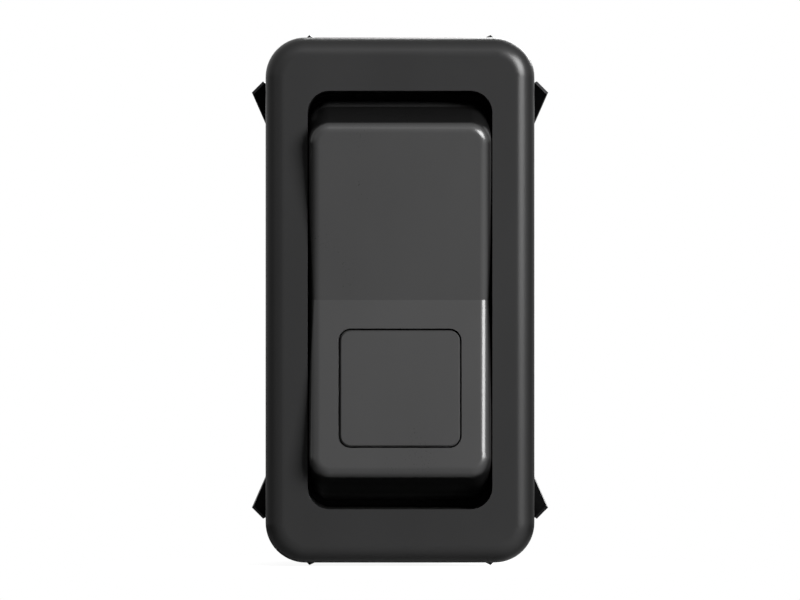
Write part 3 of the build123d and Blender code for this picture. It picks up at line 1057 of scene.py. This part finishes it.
@dataclass
class Terminals:
    """The five blades that leave through the base."""

    names: tuple[str, ...] = (
        "terminal_common",
        "terminal_upper",
        "terminal_lower",
        "lamp_terminal_left",
        "lamp_terminal_right",
    )
    stamped_edge: float = 0.05 * MM

    def build(self) -> list[bpy.types.Object]:
        """Dresses each blade in tinned brass.

        Returns:
            The five blades.
        """
        return [
            dress(name, "switch_body", "tinned_brass", TINNED_BRASS, self.stamped_edge)
            for name in self.names
        ]


@dataclass
class Clips:
    """The two blackened spring-steel clips round the ends of the sleeve."""

    stamped_edge: float = 0.04 * MM
    sharp_above: float = 35.0
    bend_radius: float = 0.3 * MM

    def build(self) -> list[bpy.types.Object]:
        """Dresses both clips.

        Returns:
            The two clips.
        """
        edges = (self.stamped_edge, self.sharp_above, self.bend_radius)
        return [
            dress(f"clip_{end}", "switch_body", "spring_steel", CLIP_STEEL, *edges)
            for end in ("upper", "lower")
        ]


@dataclass
class IndicatorLamp:
    """The small board with its lamp, chip resistor and solder joints."""

    edge: float = 0.04 * MM
    lead_pitch: float = 1.27 * MM
    joint_radius: float = 0.55 * MM
    joint_tip_radius: float = 0.2 * MM
    joint_height: float = 0.4 * MM
    joint_bow: float = -0.3

    def solder_joints(self) -> bpy.types.Object:
        """Solders the lamp's two leads on the back of the board.

        Returns:
            Both joints as one piece.
        """
        low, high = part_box("indicator_led")
        joint = (self.joint_radius, self.joint_tip_radius, self.joint_height, self.joint_bow)
        row = SpotRow("solder_joints", Vector((self.lead_pitch, 0, 0)), *joint)
        centre = Vector(((low.x + high.x) / 2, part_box("lamp_board")[1].y, (low.z + high.z) / 2))
        return row.build(centre, -math.pi / 2, "switch_body", "circuit_board", SOLDER)

    def build(self) -> list[bpy.types.Object]:
        """Dresses the board and what it carries.

        Returns:
            The pieces.
        """
        return [
            self.solder_joints(),
            dress("lamp_board", "switch_body", "circuit_board", BOARD_GREEN, self.edge),
            dress("indicator_led", "switch_body", "lamp_epoxy", LAMP_EPOXY, self.edge),
            dress("lamp_resistor", "switch_body", "resistor_coat", CHIP_COAT, self.edge),
        ]


@dataclass(frozen=True)
class Lamp:
    """One soft rectangular lamp aimed at the object, with its place in degrees and its size in metres."""

    name: str
    azimuth: float
    elevation: float
    width: float
    height: float
    power: float


@dataclass
class Studio:
    """Pale floor, plain world, soft lamps and the camera that looks straight at the bezel.

    Glossy faces mirror a world that turns from front_glow to back_glow while the Y of the mirrored way
    runs over rear_turn, and that is at least sky_glow where its Z is past sky_rise.
    """

    camera_distance: float = 0.7
    sensor_width: float = 36.0
    nearest_seen: float = 0.01
    furthest_seen: float = 10.0
    floor_gap: float = 0.02 * MM
    floor_reach: float = 3.0
    floor_shade: float = 0.82
    bounce_shade: float = 0.1
    floor_lift: float = 0.85
    lit_radius: float = 0.014
    white_radius: float = 0.04
    ambient: float = 0.06
    front_glow: float = 0.08
    back_glow: float = 0.6
    rear_turn: tuple[float, float] = (-0.9, 0.1)
    sky_glow: float = 0.5
    sky_rise: tuple[float, float] = (0.3, 0.7)
    lamp_distance: float = 0.5
    lamps: tuple[Lamp, ...] = (
        Lamp("key", 43, 21, 0.26, 0.24, 3.7),
        Lamp("top_fill", 0, 45, 0.26, 0.10, 0.06),
        Lamp("left_fill", -62, 5, 0.16, 0.36, 0.04),
        Lamp("back_fill", 160, 30, 0.30, 0.30, 2.2),
    )

    def build(self, lowest: float) -> None:
        """Sets up everything round the object.

        Args:
            lowest: height of the object's lowest point in metres.
        """
        bpy.context.scene.view_settings.view_transform = "Standard"
        self.camera()
        self.world()
        self.floor(lowest - self.floor_gap)
        for lamp in self.lamps:
            self.hang(lamp)

    def camera(self) -> None:
        """Camera in front of the bezel with the photograph's scale."""
        seen = PHOTO_WIDTH_PX / PHOTO_SCALE_PX_PER_MM * MM
        data = bpy.data.cameras.new("camera")
        data.sensor_width = self.sensor_width
        data.lens = self.sensor_width * self.camera_distance / seen
        data.clip_start = self.nearest_seen
        data.clip_end = self.furthest_seen
        camera = bpy.data.objects.new("camera", data)
        camera.location = (0, -self.camera_distance, 0)
        camera.rotation_euler = (math.pi / 2, 0, 0)
        bpy.context.scene.collection.objects.link(camera)
        bpy.context.scene.camera = camera

    def world(self) -> None:
        """White where the camera looks past the object, soft grey for the light on it."""
        world = bpy.data.worlds.new("studio")
        world.use_nodes = True
        bpy.context.scene.world = world
        graph = Graph(world.node_tree)
        path = graph.add("ShaderNodeLightPath").outputs
        way = graph.add("ShaderNodeTexCoord").outputs["Generated"]
        around = graph.ramp(graph.along("Y", way), self.rear_turn, self.front_glow, self.back_glow)
        sky = graph.ramp(graph.along("Z", way), self.sky_rise, 0.0, self.sky_glow)
        mirrored = graph.work_out("MAXIMUM", around, sky)
        lit = graph.between(path[Ray.GLOSSY.value], self.ambient, mirrored)
        clear = graph.work_out("MAXIMUM", path[Ray.CAMERA.value], path[Ray.TRANSMISSION.value])
        strength = graph.between(clear, lit, 1.0)
        light = graph.add("ShaderNodeBackground", {"Color": grey(1.0), "Strength": strength})
        graph.add("ShaderNodeOutputWorld", {"Surface": light.outputs["Background"]})

    def floor(self, height: float) -> None:
        """Pale floor that holds the object's shadow and turns white further out.

        Args:
            height: the floor's height in metres.
        """
        mesh = bpy.data.meshes.new("floor")
        reach = self.floor_reach
        corners = [(x * reach, y * reach, height) for x, y in ((-1, -1), (1, -1), (1, 1), (-1, 1))]
        mesh.from_pydata(corners, [], [(0, 1, 2, 3)])
        material = bpy.data.materials.new("studio_floor")
        material.use_nodes = True
        graph = Graph(material.node_tree)
        path = graph.add("ShaderNodeLightPath").outputs
        place = graph.add("ShaderNodeTexCoord").outputs["Object"]
        away = graph.add("ShaderNodeVectorMath", {0: place}, operation="LENGTH").outputs["Value"]
        far = graph.ramp(away, (self.lit_radius, self.white_radius), eased=True)
        matt = graph.add("ShaderNodeBsdfDiffuse", {"Color": grey(self.floor_shade)}).outputs["BSDF"]
        dim = graph.add("ShaderNodeBsdfDiffuse", {"Color": grey(self.bounce_shade)}).outputs["BSDF"]
        scattered = graph.work_out("SUBTRACT", 1.0, path[Ray.GLOSSY.value])
        bounce = graph.fade(graph.work_out("MAXIMUM", far, scattered), matt, dim)
        glow = graph.add("ShaderNodeEmission", {"Color": grey(1.0)}).outputs["Emission"]
        inputs = {"Color": grey(1.0), "Strength": self.floor_lift}
        lift = graph.add("ShaderNodeEmission", inputs).outputs["Emission"]
        lifted = graph.add("ShaderNodeAddShader", {0: matt, 1: lift}).outputs["Shader"]
        faded = graph.fade(far, lifted, glow)
        seen = graph.fade(path[Ray.CAMERA.value], bounce, faded)
        graph.add("ShaderNodeOutputMaterial", {"Surface": seen})
        put_in_scene("floor", mesh, material)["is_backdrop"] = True

    def hang(self, lamp: Lamp) -> None:
        """Hangs one lamp at its place round the object, turned towards it.

        Args:
            lamp: the lamp's place, size and power.
        """
        data = bpy.data.lights.new(lamp.name, "AREA")
        data.shape = "RECTANGLE"
        data.size = lamp.width
        data.size_y = lamp.height
        data.energy = lamp.power
        hung = bpy.data.objects.new(lamp.name, data)
        turn = math.radians(lamp.azimuth)
        rise = math.radians(lamp.elevation)
        level = math.cos(rise)
        towards = Vector((math.sin(turn) * level, -math.cos(turn) * level, math.sin(rise)))
        hung.location = towards * self.lamp_distance
        hung.rotation_euler = (-towards).to_track_quat("-Z", "Y").to_euler()
        hung.visible_camera = False
        bpy.context.scene.collection.objects.link(hung)


def main() -> None:
    """Builds every sub-assembly round the frame."""
    logging.basicConfig(level=logging.INFO, format="%(name)s: %(message)s")
    cad_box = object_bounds()
    for part in (SwitchBody(), Rocker(), Works(), Terminals(), Clips(), IndicatorLamp()):
        pieces = part.build()
        LOG.info("%s has %d pieces", type(part).__name__, len(pieces))
    Studio().build(cad_box[0].z)


if __name__ == "__main__":
    main()
